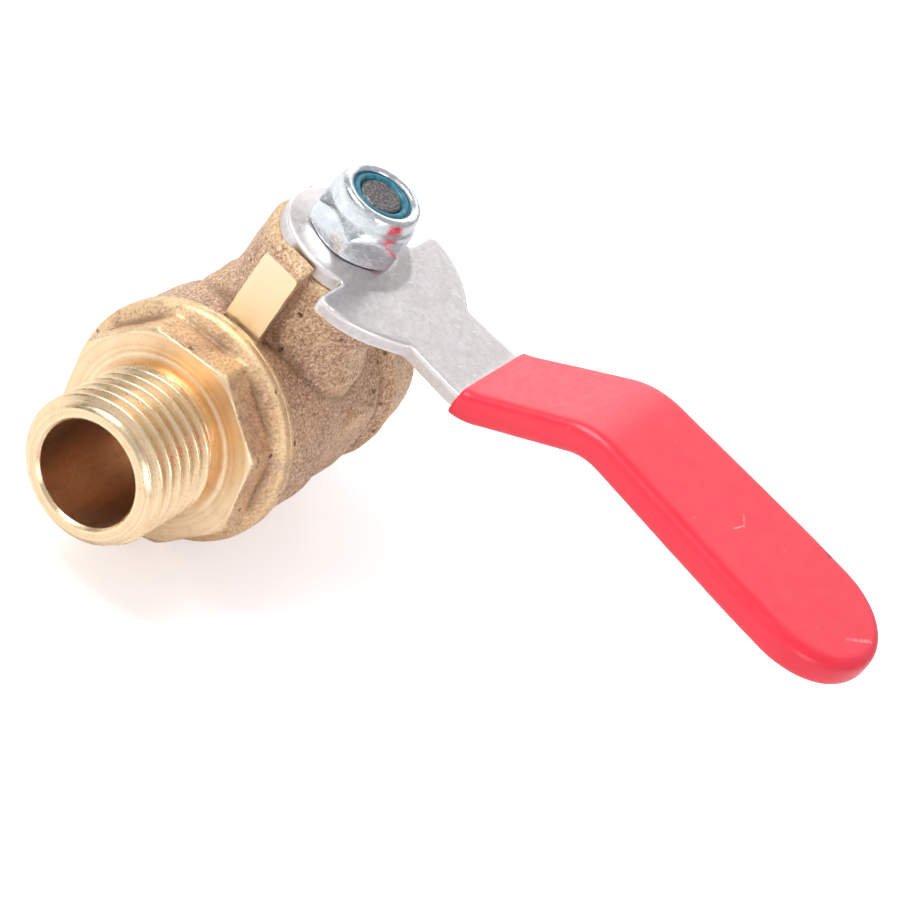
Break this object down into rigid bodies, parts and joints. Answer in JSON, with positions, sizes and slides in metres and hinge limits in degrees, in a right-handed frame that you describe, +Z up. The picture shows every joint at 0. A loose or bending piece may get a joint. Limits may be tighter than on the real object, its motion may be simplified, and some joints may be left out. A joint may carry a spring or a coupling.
{
  "type": "ball valve",
  "caption": "Quarter-turn brass ball valve with male and female pipe-thread ends and a cranked steel lever with a dipped red grip, held by a nylon lock nut.",
  "frame": {"origin": "centre of the female end face, on the flow axis; the ball's centre is 14 mm behind it", "axes": "+X along the flow, out of the female end; +Z up along the stem; at rest the lever points to -Y, across the flow, which is the closed position"},
  "size_m": [0.0373, 0.0654, 0.0363],
  "materials": {
    "cast_brass": "as cast, grainy, with machined faces",
    "end_brass": "machined thread and face, as-cast flats",
    "chromed_ball": "polished chrome",
    "seat_ptfe": "matte",
    "stem_steel": "turned, dull",
    "ring_rubber": "smooth",
    "lever_steel": "satin plated, lightly scratched",
    "grip_vinyl": "soft dipped vinyl, semi-gloss",
    "zinc_nut": "bright zinc plated",
    "lock_nylon": "smooth nylon"
  },
  "bodies": {
    "valve_body": {"body": "cast_brass", "end_cap": "end_brass", "seat_inlet": "seat_ptfe", "seat_outlet": "seat_ptfe", "body_seal": "seat_ptfe", "thrust_washer": "seat_ptfe"},
    "lever": {"stem": "stem_steel", "stem_rings": "ring_rubber", "handle_plate": "lever_steel", "handle_sleeve": "grip_vinyl", "lock_nut": "zinc_nut", "nylon_insert": "lock_nylon"},
    "closure_ball": {"ball": "chromed_ball"}
  },
  "joints": [
    {"name": "handle_turn", "type": "hinge", "parent": "valve_body", "child": "lever", "pos_m": [-0.014, 0, 0], "axis": [0, 0, 1], "range_deg": [0, 90]},
    {"name": "ball_turn", "type": "hinge", "parent": "valve_body", "child": "closure_ball", "pos_m": [-0.014, 0, 0], "axis": [0, 0, 1], "range_deg": [0, 90]}
  ],
  "couplings": [
    {"joint": "ball_turn", "follows": "handle_turn", "ratio": 1}
  ]
}
